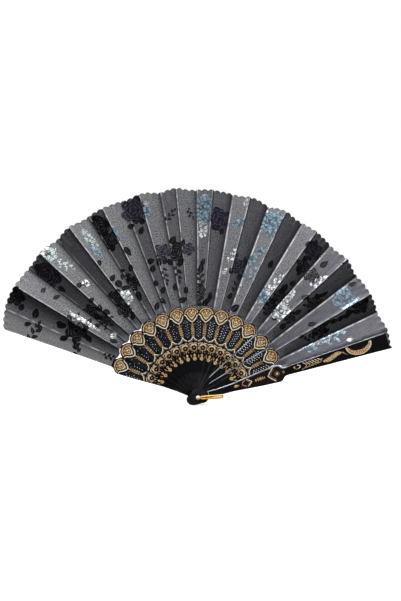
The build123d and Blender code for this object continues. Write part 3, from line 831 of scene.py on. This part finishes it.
def blade_foil(relief, inset):
    """Foil on the front guard's blade: scroll, spray, long leaf, beads, feathered crescent."""
    x, z = relief.x, relief.z

    def put(tone, d, top):
        relief.put(tone, d, top, inset > 0.7)

    def curve(tone, *points, half, top):
        put(tone, half - to_line(x, z, bezier(*points)), top)

    # scroll after the shoulder
    curve("gold", (-1.8, 107), (2.8, 108), (0.8, 113.0), half=0.5, top=0.9)
    curve("silver", (0.8, 113.0), (-1.8, 116.0), (-2.4, 111.5), half=0.45, top=0.9)
    put("gold", 0.9 - np.hypot(x + 1.5, z - 108.0), 0.9)
    # spray
    for i in range(6):
        h, shift = 118.5 + 3.3 * i, 0.5 * i
        curve("gold", (3.0 - shift, h - 3), (3.2, h + 1), (-1.6, h + 3.4), half=0.7, top=0.8)
        curve("brown", (2.8 - shift, h - 2), (2.4, h + 1), (-1.2, h + 2.6), half=0.3, top=0.4)
        curve("silver", (-3.4, h - 1), (-1.6, h + 2.6), (0.9, h + 2.0), half=0.32, top=0.9)
    # long leaf with a midrib and veins
    t = (z - 139.0) / 22.0
    half = 2.7 * np.sqrt(np.clip(4 * t * (1 - t), 0, 1))
    off_mid = np.abs(x - (1.6 - 3.4 * t + 0.8 * np.sin(t * 6)))
    put("gold", np.where((t > 0) & (t < 1), half - off_mid, -9), 0.8)
    put("silver", np.where((t > 0.04) & (t < 0.96), 0.25 - off_mid, -9), 1.0)
    for i in range(7):
        h = 141.0 + 2.6 * i
        put("brown", 0.2 - to_line(off_mid, z, [(0.4, h), (2.2, h + 2.2)]), 0.3)
    # beads
    for i in range(5):
        put("gold", 0.8 - 0.08 * i - np.hypot(x + 1.6 - 1.0 * i, z - 162.0 - 1.1 * i), 0.9)
    # feathered crescent
    u, v = x + 4.4, (z - 180.5) * 0.72
    r, a = np.hypot(u, v), np.arctan2(u, v)
    feathers = np.sin(a * 15)
    outer = 10.2
    width = 1.2 + 3.6 * np.clip(np.cos((a - math.pi / 2) * 0.85), 0, 1)
    region = (u > -1.0) & (z > 164) & (z < 197)
    in_band = region & (r < outer - 1.0) & (r > outer - width)
    below = region & (r < outer - width - 0.6) & (r > outer - width - 3.4)
    band = np.minimum(outer - r, r - outer + width + 0.6 * feathers**2)
    put("gold", np.where(region, band, -9), 0.7)
    put("silver", np.where(region, 0.40 - np.abs(r - outer + 0.3), -9), 1.0)
    put("brown", np.where(in_band, 0.32 - np.abs(feathers) * 0.8, -9), 0.2)
    put("brown", np.where(below, 0.3 - np.abs(np.sin(a * 11)) * 1.1, -9), 0.5)


FACE_STEP = 0.27  # grid step of the faces
END_MARGIN = 0.2
ORNAMENT_TOP = 98.2
# Straight painted glint on two ribs: distance left of the axis, cosine and sine of its tilt
GLINTS = {11: (7.6, 0.984, 0.179), 12: (6.6, 0.985, 0.172)}


def add_edges(relief, k, inset):
    """Painted highlights on the edges of the right-hand sticks, where they catch the light."""
    x, z, put = relief.x, relief.z, relief.put
    if k == STICKS:
        wide = np.interp(z, [10, 40, 95, 106], [0.55, 0.85, 0.95, 0.45])
        put("edge", wide - np.abs(inset - wide * 0.75), 0, (x < 0) & (z < 210))
    if k in GLINTS:
        off, c, s = GLINTS[k]
        ends = [(s * h - c * off, c * h + s * off) for h in (12, 96)]
        put("edge", 0.50 - to_line(x, z, ends), 0)
        line = relief.tone["edge"] > -0.35
        for name in ("gold", "silver", "brown"):
            relief.tone[name] = np.where(line, -9, relief.tone[name])


def make_face(k):
    guard = k in (1, STICKS)
    foremost = k == STICKS
    bottom = 11.0 if k > 10 else 26.0
    top = 212.0 if foremost else 98.8 if guard else 97.9
    xs = np.arange(-9.9, 9.91, FACE_STEP)
    x, z = np.meshgrid(xs, np.arange(bottom, top + FACE_STEP, FACE_STEP))
    outline = stick_outline(guard)
    inset = to_line(x, z, outline + outline[:1])
    inset = np.where(inside_polygon(x, z, outline), inset, -inset)
    inset = np.minimum(inset, z - bottom - END_MARGIN)
    if guard:
        inset = np.minimum(inset, top - END_MARGIN - z)

    relief = Relief(x, z)
    cut = inset - 0.10
    hole_r = 0.20 if k < 7 else 0.24
    for hx, hz in [] if foremost else hole_centres():
        from_hole = np.hypot(x - hx, z - hz)
        cut = np.minimum(cut, from_hole - hole_r)
        if k > 6:  # painted highlights on the rounded lips of the holes, where they catch the light
            relief.put("edge", 0.20 - np.abs(from_hole - 0.36), 0)
    (ornament_guard if foremost else ornament)(relief)
    add_edges(relief, k, inset)
    low = z < ORNAMENT_TOP
    relief.height = np.where(low, relief.height, 0)
    for name in ("gold", "silver", "brown", "navy"):
        relief.tone[name] = np.where(low & (inset > 0.8), relief.tone[name], -9)
    if foremost:
        blade_foil(relief, inset)

    # keep a cell if two opposite corners are inside, and pull its outside corners
    # onto the outline
    grad_z, grad_x = np.gradient(cut, FACE_STEP)
    grad_sq = np.maximum(grad_x**2 + grad_z**2, 0.25)
    pull = np.where(cut < 0, np.clip(-cut / grad_sq, 0, FACE_STEP * 1.5), 0)
    inside = cut > 0
    cell = (inside[:-1, :-1] & inside[1:, 1:]) | (inside[1:, :-1] & inside[:-1, 1:])
    index = np.arange(x.size).reshape(x.shape)
    corners = (index[:-1, :-1], index[:-1, 1:], index[1:, 1:], index[1:, :-1])
    quads = np.stack([corner[cell] for corner in corners], -1)
    used = np.unique(quads)
    n = len(used)
    remap = np.full(x.size, -1)
    remap[used] = np.arange(n)
    quads = remap[quads]

    lift, roll_width = (0.34, 0.85) if foremost else (0.11, 0.5)
    roll = smooth(np.clip(cut, 0, 9) / roll_width)
    rise = 0.015 + lift * roll * (0.35 + 0.65 * relief.height)
    lean = LEAN * np.maximum(z - LEAN_R, 0) * foremost
    fx, fz, rise, lean = (
        v.ravel()[used] for v in (x + grad_x * pull, z + grad_z * pull, rise, lean)
    )
    front_y = FRONT_Y[k - 1]
    front = np.stack([fx, front_y - rise - lean, fz], -1)
    back = np.stack([fx, front_y + 0.03 - lean, fz], -1)
    # boundary edges of the kept cells make the side wall
    edges = np.concatenate([quads[:, [i, (i + 1) % 4]] for i in range(4)])
    ordered = np.sort(edges, 1)
    key = ordered[:, 0] * (n + 1) + ordered[:, 1]
    _, first, count = np.unique(key, return_index=True, return_counts=True)
    rim = edges[first[count == 1]]
    wall = np.stack([rim[:, 1], rim[:, 0], rim[:, 0] + n, rim[:, 1] + n], -1)
    quads = np.concatenate([quads, quads[:, ::-1] + n, wall])
    verts = rotated(np.concatenate([front, back]), math.radians(stick_angle(k) - 90))
    obj = new_object(f"stick_face_{k:02d}", verts, front_first(verts, quads))
    for name, values in relief.tone.items():
        values = np.clip(values.ravel()[used], -3, 3)
        set_attr(obj, name, np.concatenate([values, np.full(n, -3.0)]))
    return obj


def repeat_face(source, source_k, k):
    """Copy of a rib face, turned and moved in Y onto stick k."""
    mesh = source.data.copy()
    obj = bpy.data.objects.new(f"stick_face_{k:02d}", mesh)
    bpy.context.scene.collection.objects.link(obj)
    mesh.name = obj.name
    points = np.zeros(len(mesh.vertices) * 3, np.float32)
    mesh.vertices.foreach_get("co", points)
    turn = math.radians(stick_angle(k) - stick_angle(source_k))
    moved = rotated(points.reshape(-1, 3).astype(float), turn)
    moved[:, 1] += (FRONT_Y[k - 1] - FRONT_Y[source_k - 1]) * MM
    mesh.vertices.foreach_set("co", moved.astype(np.float32).ravel())
    mesh.update()
    return obj


faces = []
first_of_group = {}  # one rib face is modelled for each group of ribs and repeated
for k in range(1, STICKS + 1):
    group = (k > 6) + max(k - 10, 0)
    rib = 1 < k < STICKS
    if rib and group in first_of_group:
        obj = repeat_face(*first_of_group[group], k)
    else:
        obj = make_face(k)
        if rib:
            first_of_group[group] = (obj, k)
    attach(obj, BODIES[k - 1])
    faces.append(obj)

# ------------------------------------------------------------ hanging loop --
# A long loop of cord, mm: u along it from the rivet, v across
loop_low, loop_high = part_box("hanging_loop")
CORD_Y = 0.5 * (loop_low.y + loop_high.y) / MM
LOOP_TILT = math.radians(6.7)
LOOP_NEAR, LOOP_FAR, LOOP_HALF = 4.4, 25.0, 1.15
CORD_STEPS, PLY_SIDES, PLIES = 560, 10, 3
PLY_R, PLY_OFFSET, LAY = 0.52, 0.47, 4.6  # LAY is the cord length of one twist


def loop_course():
    """Share of the course, and u, v and the direction at each step around the loop."""
    straight = LOOP_FAR - LOOP_NEAR
    bend = math.pi * LOOP_HALF
    total = 2 * (straight + bend)
    course = []
    dists = np.linspace(0, total, CORD_STEPS, endpoint=False)
    for d in dists:
        if d < straight:
            course.append((LOOP_NEAR + d, -LOOP_HALF, 1, 0))
        elif d < straight + bend:
            a = (d - straight) / LOOP_HALF
            c, s = math.cos(a), math.sin(a)
            course.append((LOOP_FAR + LOOP_HALF * s, -LOOP_HALF * c, c, s))
        elif d < 2 * straight + bend:
            course.append((LOOP_FAR - (d - straight - bend), LOOP_HALF, -1, 0))
        else:
            a = (d - 2 * straight - bend) / LOOP_HALF
            c, s = math.cos(a), math.sin(a)
            course.append((LOOP_NEAR - LOOP_HALF * s, LOOP_HALF * c, -c, -s))
    return dists / total, total, *np.array(course, float).T


def make_cord():
    share, total, u, v, dir_u, dir_v = loop_course()
    twists = round(total / LAY)
    i = np.arange(CORD_STEPS)
    following = (i + 1) % CORD_STEPS
    verts, quads = [], []
    for ply in range(PLIES):
        phase = 2 * math.pi * (twists * share + ply / PLIES)
        aside, forward = PLY_OFFSET * np.cos(phase), PLY_OFFSET * np.sin(phase)
        centre = np.stack([u - dir_v * aside, CORD_Y + forward, v + dir_u * aside], -1)
        tangent = np.roll(centre, -1, 0) - np.roll(centre, 1, 0)
        tangent /= np.linalg.norm(tangent, axis=1, keepdims=True)
        across = np.cross(tangent, np.array([0, 1.0, 0]))
        across /= np.linalg.norm(across, axis=1, keepdims=True)
        other = np.cross(tangent, across)
        base = ply * PLY_SIDES * CORD_STEPS
        for j in range(PLY_SIDES):
            q = 2 * math.pi * j / PLY_SIDES
            radius = PLY_R + 0.035 * np.cos(5 * q + 240 * math.pi * share)  # fibres
            radius = radius[:, None]
            verts.append(centre + across * np.cos(q) * radius + other * np.sin(q) * radius)
            a = base + j * CORD_STEPS
            b = base + (j + 1) % PLY_SIDES * CORD_STEPS
            quads.append(np.stack([a + i, a + following, b + following, b + i], -1))
    points = rotated(np.concatenate(verts), LOOP_TILT)
    return new_object("loop_cord_twist", points, np.concatenate(quads))


cord = make_cord()
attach(cord, "loop_body")
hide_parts("hanging_loop")


# ------------------------------------------------------------ materials -----
class Nodes:
    """Builds nodes in one tree; inputs may be sockets, numbers or colours."""

    def __init__(self, tree):
        self.tree = tree
        tree.nodes.clear()

    def plug(self, node, inputs):
        for key, value in inputs.items():
            socket = node.inputs[key]
            if isinstance(value, bpy.types.NodeSocket):
                self.tree.links.new(value, socket)
            elif socket.type == "RGBA":
                socket.default_value = (*value, 1)
            else:
                socket.default_value = value

    def node(self, kind, inputs={}, **settings):
        node = self.tree.nodes.new(kind)
        for key, value in settings.items():
            setattr(node, key, value)
        self.plug(node, inputs)
        return node

    def attr(self, name):
        return self.node("ShaderNodeAttribute", attribute_name=name).outputs["Fac"]

    def math(self, operation, *values, clamp=False):
        inputs = dict(enumerate(values))
        node = self.node("ShaderNodeMath", inputs, operation=operation, use_clamp=clamp)
        return node.outputs[0]

    def times(self, a, b):
        return self.math("MULTIPLY", a, b)

    def add(self, a, b):
        return self.math("ADD", a, b)

    def most(self, a, b, clamp=False):
        return self.math("MAXIMUM", a, b, clamp=clamp)

    def rest(self, value):
        return self.math("SUBTRACT", 1.0, value)

    def step(self, value, lo, hi):
        inputs = {"Value": value, "From Min": lo, "From Max": hi}
        kind = "ShaderNodeMapRange"
        return self.node(kind, inputs, interpolation_type="SMOOTHSTEP").outputs[0]

    def mix(self, share, a, b, blend="MIX"):
        inputs = {0: share, 6: a, 7: b}
        node = self.node("ShaderNodeMix", data_type="RGBA", blend_type=blend)
        self.plug(node, inputs)
        return node.outputs[2]

    def mix_values(self, share, a, b):
        node = self.node("ShaderNodeMix", {0: share, 2: a, 3: b}, data_type="FLOAT")
        return node.outputs[0]

    def coords(self):
        return self.node("ShaderNodeTexCoord").outputs["Object"]

    def noise(self, scale, detail=3.0, rough=0.55, vector=None, stretch=None):
        vector = vector or self.coords()
        if stretch:
            inputs = {0: vector, "Scale": stretch}
            vector = self.node("ShaderNodeMapping", inputs).outputs[0]
        inputs = {"Scale": scale, "Detail": detail, "Roughness": rough, "Vector": vector}
        return self.node("ShaderNodeTexNoise", inputs).outputs["Fac"]

    def bump(self, height, strength, distance, normal=None):
        inputs = {"Strength": strength, "Distance": distance, "Height": height}
        if normal is not None:
            inputs["Normal"] = normal
        return self.node("ShaderNodeBump", inputs).outputs[0]


def new_material(name, build):
    """Principled material whose inputs come from build(nodes)."""
    material = bpy.data.materials.new(name)
    material.use_nodes = True
    nodes = Nodes(material.node_tree)
    output = nodes.node("ShaderNodeOutputMaterial")
    surface = nodes.node("ShaderNodeBsdfPrincipled")
    nodes.plug(output, {0: surface.outputs[0]})
    nodes.plug(surface, build(nodes))
    return material


def cloth(n):
    """Dark woven cloth with flocked and foil print; its textures are laid out in mm."""
    inputs = {0: n.attr("across"), 1: n.attr("along"), 2: 0.0}
    place = n.node("ShaderNodeCombineXYZ", inputs).outputs[0]

    def noise(scale, detail=2.0, rough=0.6, stretch=None):
        return n.noise(scale, detail, rough, vector=place, stretch=stretch)

    def tone(name):
        return n.step(n.attr(name), lo=-0.16, hi=0.16)

    weave = n.add(n.times(noise(scale=2.3), 0.26), n.times(noise(scale=5.5), 0.08))
    weave = n.add(weave, n.times(noise(scale=1.2, stretch=(6.0, 0.5, 1)), 0.12))
    weave = n.add(weave, n.times(noise(scale=0.72, rough=0.75), 0.54))
    # bare cloth: weave, painted shade on panels turned away from the light, clouds, long streaks, hem, and
    # painted shade by the folds
    weave_share = n.step(weave, lo=0.405, hi=0.595)
    base = n.mix(weave_share, (0.022, 0.023, 0.027), (0.232, 0.235, 0.243))
    base = n.mix(n.times(n.attr("turned"), 0.34), base, (0.050, 0.048, 0.068))
    cloud = n.step(noise(scale=0.05, detail=3.0, rough=0.5), lo=0.4, hi=0.65)
    base = n.mix(n.times(cloud, 0.4), base, (0.105, 0.100, 0.128))
    streaks = n.step(noise(scale=0.9, stretch=(1.0, 0.09, 1)), lo=0.42, hi=0.72)
    base = n.mix(n.times(streaks, 0.35), base, (0.215, 0.217, 0.225))
    base = n.mix(n.times(n.attr("hem"), 0.5), base, (0.05, 0.05, 0.05))
    base = n.mix(n.times(n.attr("shade"), 0.97), base, (0.004, 0.004, 0.005))
    # pale worn lines on the folds
    # painted highlights along the mountain folds and beside the valley folds, broken up by noise
    wear_and_highlight_breakup = n.step(noise(scale=0.11), lo=0.36, hi=0.62)
    share = n.times(n.attr("fold"), n.math("MULTIPLY_ADD", wear_and_highlight_breakup, 0.66, 0.26))
    base = n.mix(share, base, (0.86, 0.86, 0.88))
    share = n.times(n.attr("crease_highlight"), n.math("MULTIPLY_ADD", wear_and_highlight_breakup, 0.64, 0.20))
    base = n.mix(share, base, (0.74, 0.74, 0.76))
    # black flock, then violet-black
    ink, violet, silver, blue = (tone(name) for name in TONES)
    patch = noise(scale=0.28, detail=3.0)
    colour = n.mix(ink, base, (0.0022, 0.0022, 0.0030))
    patches = n.step(patch, lo=0.42, hi=0.62)
    violets = n.mix(patches, (0.005, 0.0045, 0.009), (0.030, 0.027, 0.048))
    colour = n.mix(violet, colour, violets)
    # silver and blue foil with dark cell lines
    inputs = {"Vector": place, "Scale": 0.21}
    cells = n.node("ShaderNodeTexVoronoi", feature="DISTANCE_TO_EDGE")
    n.plug(cells, inputs)
    vein = n.rest(n.step(cells.outputs["Distance"], lo=0.025, hi=0.085))
    # painted reflection: the silver foil is lighter where the leaf marks it bright
    lit = n.mix(n.attr("bright"), (0.47, 0.52, 0.52), (0.90, 0.92, 0.94))
    silvers = n.mix(n.step(patch, lo=0.36, hi=0.60), (0.20, 0.235, 0.245), lit)
    silvers = n.mix(vein, silvers, (0.05, 0.05, 0.06))
    colour = n.mix(silver, colour, silvers)
    patches = n.step(patch, lo=0.34, hi=0.62)
    blues = n.mix(patches, (0.075, 0.110, 0.140), (0.28, 0.375, 0.455))
    blues = n.mix(n.times(vein, 0.9), blues, (0.035, 0.052, 0.068))
    colour = n.mix(blue, colour, blues)
    # painted light: the glued panel on the rear guard is lightened, except under the ink
    share = n.times(n.attr("pale"), n.rest(n.most(ink, violet)))
    colour = n.mix(share, colour, (0.75, 0.75, 0.76), "SCREEN")
    # painted shade over the print on panels turned away from the light
    colour = n.mix(n.times(n.attr("turned"), 0.10), colour, (0.02, 0.02, 0.024))
    plain_back = n.mix(0.5, base, (0.17, 0.17, 0.18))
    foil = n.most(silver, blue, clamp=True)
    shine = n.most(foil, n.times(n.most(ink, violet), 0.7))
    bump = n.bump(weave, strength=0.45, distance=0.00022)
    printed = n.most(n.most(ink, violet), foil)
    return {
        "Base Color": n.mix(n.attr("face"), plain_back, colour),
        "Metallic": n.times(foil, 0.3),
        "Roughness": n.mix_values(shine, 0.55, 0.30),
        "Sheen Weight": 0.04,
        "Sheen Roughness": 0.4,
        "Specular IOR Level": 0.16,
        "Normal": n.bump(printed, strength=0.6, distance=0.00008, normal=bump),
    }


def gilding(n):
    """Glossy black with gold that shows wear, pale silver, brown and navy relief; painted highlights on
    edges and small bright flecks on the gold, and painted shade at the edges of the gold.
    """
    gold = n.step(n.attr("gold"), lo=-0.06, hi=0.10)
    silver = n.step(n.attr("silver"), lo=-0.06, hi=0.10)
    brown = n.step(n.attr("brown"), lo=-0.05, hi=0.09)
    navy = n.step(n.attr("navy"), lo=-0.12, hi=0.2)
    wear = n.noise(scale=900, detail=3.0, rough=0.65)
    glint_speck = n.noise(scale=2600, detail=2.0, rough=0.6)
    wear_and_highlight_breakup = n.step(wear, lo=0.38, hi=0.60)
    golds = n.mix(wear_and_highlight_breakup, (0.23, 0.125, 0.046), (0.95, 0.62, 0.29))
    # painted highlights in small specks on the gold
    golds = n.mix(n.step(glint_speck, lo=0.54, hi=0.70), golds, (1.0, 0.84, 0.56))
    # painted shade: the gold darkens towards the edges of each shape, which also draws its dark outlines
    inward = n.step(n.attr("gold"), lo=0.02, hi=0.42)
    golds = n.mix(inward, (0.13, 0.062, 0.024), golds)
    wear_and_highlight_breakup = n.step(wear, lo=0.38, hi=0.62)
    silvers = n.mix(wear_and_highlight_breakup, (0.72, 0.58, 0.39), (1.0, 0.94, 0.78))
    black = n.mix(navy, (0.0035, 0.0035, 0.0048), (0.022, 0.029, 0.046))
    colour = n.mix(silver, n.mix(gold, black, golds), silvers)
    colour = n.mix(n.times(brown, 0.9), colour, (0.028, 0.011, 0.006))
    metal = n.times(n.most(gold, silver, clamp=True), n.rest(brown))
    # painted highlights on the edges and hole lips, broken up by glint noise
    glint = n.step(n.noise(scale=38, detail=2.0, rough=0.6), lo=0.40, hi=0.62)
    edge = n.step(n.attr("edge"), lo=-0.1, hi=0.25)
    bright = n.times(edge, n.math("MULTIPLY_ADD", glint, 0.5, 0.42))
    return {
        "Base Color": n.mix(bright, colour, (0.52, 0.57, 0.64)),
        "Metallic": n.times(metal, 0.16),
        "Roughness": n.mix_values(metal, 0.17, 0.36),
        "Specular IOR Level": 0.5,
        "Coat Weight": 0.25,
        "Coat Roughness": 0.12,
        "Normal": n.bump(glint_speck, strength=0.35, distance=0.00006),
    }


def plastic(n):
    swirl = n.step(n.noise(scale=160, detail=3.0, rough=0.6), lo=0.35, hi=0.7)
    fine = n.step(n.noise(scale=1800, detail=2.0, rough=0.6), lo=0.4, hi=0.7)
    return {
        "Base Color": n.mix(swirl, (0.0075, 0.0075, 0.0085), (0.018, 0.0175, 0.019)),
        "Roughness": n.mix_values(fine, 0.16, 0.26),
        "Coat Weight": 0.3,
        "Coat Roughness": 0.08,
        "Normal": n.bump(n.noise(scale=420, detail=3.0), strength=0.12, distance=0.0001),
    }


def metal(light, dark, rough, metallic=1.0):
    def build(n):
        fine = n.noise(scale=3000, detail=3.0, rough=0.6)
        return {
            "Base Color": n.mix(n.step(fine, lo=0.3, hi=0.7), dark, light),
            "Metallic": metallic,
            "Roughness": n.mix_values(n.step(fine, lo=0.3, hi=0.7), rough * 1.4, rough),
            "Normal": n.bump(n.noise(scale=1500, detail=2.0), strength=0.15, distance=0.00005),
        }

    return build


def gold_cord(n):
    fibre = n.noise(scale=2400, detail=2.0, rough=0.6)
    highlight_patches = n.step(n.noise(scale=380, detail=2.0, rough=0.5), lo=0.5, hi=0.7)
    colour = n.mix(n.step(fibre, lo=0.35, hi=0.65), (0.36, 0.15, 0.01), (1.0, 0.60, 0.05))
    return {
        # painted highlights in broad random patches
        "Base Color": n.mix(n.times(highlight_patches, 0.35), colour, (1.0, 0.80, 0.26)),
        "Metallic": 0.15,
        "Roughness": 0.42,
        "Sheen Weight": 0.2,
        "Normal": n.bump(fibre, strength=0.6, distance=0.00012),
    }


CLOTH = new_material("leaf_cloth", cloth)
GILDING = new_material("stick_gilding", gilding)
PLASTIC = new_material("stick_plastic", plastic)
CORD = new_material("gold_cord", gold_cord)
chrome = metal(light=(1.0, 0.90, 0.90), dark=(0.86, 0.72, 0.74), rough=0.30, metallic=0.45)
RIVET = new_material("rivet_chrome", chrome)
steel = metal(light=(0.62, 0.62, 0.64), dark=(0.42, 0.42, 0.44), rough=0.3)
STEEL = new_material("washer_steel", steel)
brass = metal(light=(0.78, 0.56, 0.24), dark=(0.5, 0.33, 0.12), rough=0.3)
BRASS = new_material("ring_brass", brass)

for obj in leaf_pieces:
    obj.data.materials.append(CLOTH)
for obj in faces:
    obj.data.materials.clear()
    obj.data.materials.append(GILDING)
cord.data.materials.append(CORD)


def assign(node, material):
    obj = frame["nodes"][node]
    if not obj.material_slots:
        obj.data.materials.append(material)
    for slot in obj.material_slots:
        slot.material = material


def round_edges(obj, width):
    weld = obj.modifiers.new("join", "WELD")
    weld.merge_threshold = 0.000002
    bevel = obj.modifiers.new("edge", "BEVEL")
    bevel.width = width
    bevel.segments = 2
    bevel.limit_method = "ANGLE"
    bevel.angle_limit = math.radians(50)
    bevel.use_clamp_overlap = True


for node in CAD_STICKS:
    assign(node, PLASTIC)
    round_edges(frame["nodes"][node], width=0.00016 if node.startswith("rib") else 0.00035)
assign("rivet", RIVET)
assign("rivet_burr", STEEL)
assign("rivet_washer", STEEL)
assign("loop_ring", BRASS)


# ------------------------------------------------------------ stage ---------
# From here on, lengths are in metres.
def floor_surface(n):
    """Grey floor that glows brighter away from the fan."""
    length = n.node("ShaderNodeVectorMath", operation="LENGTH")
    n.plug(length, {0: n.coords()})
    far = n.step(length.outputs["Value"], lo=0.35, hi=1.3)
    return {
        "Base Color": n.mix(n.noise(scale=3.0, detail=2.0), (0.30,) * 3, (0.32,) * 3),
        "Roughness": 0.9,
        "Specular IOR Level": 0.0,
        "Emission Color": (1, 1, 1),
        "Emission Strength": n.mix_values(far, 0.80, 1.0),
    }


bpy.ops.mesh.primitive_plane_add(size=14, location=(0, 0, CAD_BOUNDS[0].z - 0.0005))
floor = bpy.context.object
floor.name = "stage_floor"
floor.data.materials.append(new_material("stage_floor", floor_surface))
floor.visible_diffuse = False
floor.visible_glossy = False


def build_world():
    """White to the camera; a dim sky to the rest, bright overhead in reflections."""
    world = bpy.data.worlds.new("studio")
    bpy.context.scene.world = world
    world.use_nodes = True
    n = Nodes(world.node_tree)
    ray = n.node("ShaderNodeLightPath").outputs
    generated = n.node("ShaderNodeTexCoord").outputs["Generated"]
    direction = n.node("ShaderNodeSeparateXYZ", {0: generated}).outputs
    overhead = n.times(n.step(direction[2], lo=0.66, hi=0.96), 7.0)
    strength = n.math("MULTIPLY_ADD", overhead, ray["Is Glossy Ray"], 0.075)
    sky = n.node("ShaderNodeBackground", {0: (0.93, 0.96, 1), 1: strength}).outputs[0]
    white = n.node("ShaderNodeBackground", {0: (1, 1, 1), 1: 1.0}).outputs[0]
    mixed = n.node("ShaderNodeMixShader", {0: ray["Is Camera Ray"], 1: sky, 2: white})
    n.node("ShaderNodeOutputWorld", {0: mixed.outputs[0]})


def area(name, place, target, size, power, size_y=None):
    light = bpy.data.lights.new(name, "AREA")
    light.energy = power
    light.size = size
    if size_y:
        light.shape = "RECTANGLE"
        light.size_y = size_y
    obj = bpy.data.objects.new(name, light)
    bpy.context.scene.collection.objects.link(obj)
    obj.location = place
    aim = Vector(target) - Vector(place)
    obj.rotation_euler = aim.to_track_quat("-Z", "Y").to_euler()


build_world()
LEAF_LOW = (0, 0, 0.1)
area("key_top", (0.0, -0.60, 1.35), target=(0, 0, 0.12), size=0.9, power=34, size_y=0.35)
area("overhead", (-0.35, -0.05, 1.2), target=LEAF_LOW, size=0.9, power=13, size_y=0.5)
area("fill", (-0.9, -1.3, 0.3), target=LEAF_LOW, size=0.5, power=1.9)
area("back", (0.35, 1.1, 0.85), target=LEAF_LOW, size=0.8, power=15)

# ------------------------------------------------------------ camera --------
ROLL, YAW = math.radians(2.6), math.radians(3.0)
CAMERA_DIST = 0.655
SHIFT_RIGHT, SHIFT_UP = 0.0031117, 0.1031153  # view centre from the rivet, along the view axes

camera_data = bpy.data.cameras.new("camera")
camera_data.sensor_fit = "AUTO"
camera_data.sensor_width = 36.0
camera_data.lens = 36.565339
camera_data.clip_start = 0.01
camera_data.clip_end = 50
camera = bpy.data.objects.new("camera", camera_data)
bpy.context.scene.collection.objects.link(camera)
level = Vector((math.cos(YAW), -math.sin(YAW), 0))
upright = Vector((0, 0, 1))
right = level * math.cos(ROLL) + upright * math.sin(ROLL)
up = upright * math.cos(ROLL) - level * math.sin(ROLL)
backward = Vector((-math.sin(YAW), -math.cos(YAW), 0))
eye = right * SHIFT_RIGHT + up * SHIFT_UP + backward * CAMERA_DIST
axes = Matrix((right, up, backward)).transposed().to_4x4()
camera.matrix_world = Matrix.Translation(eye) @ axes
bpy.context.scene.camera = camera
bpy.context.scene.view_settings.view_transform = "Standard"
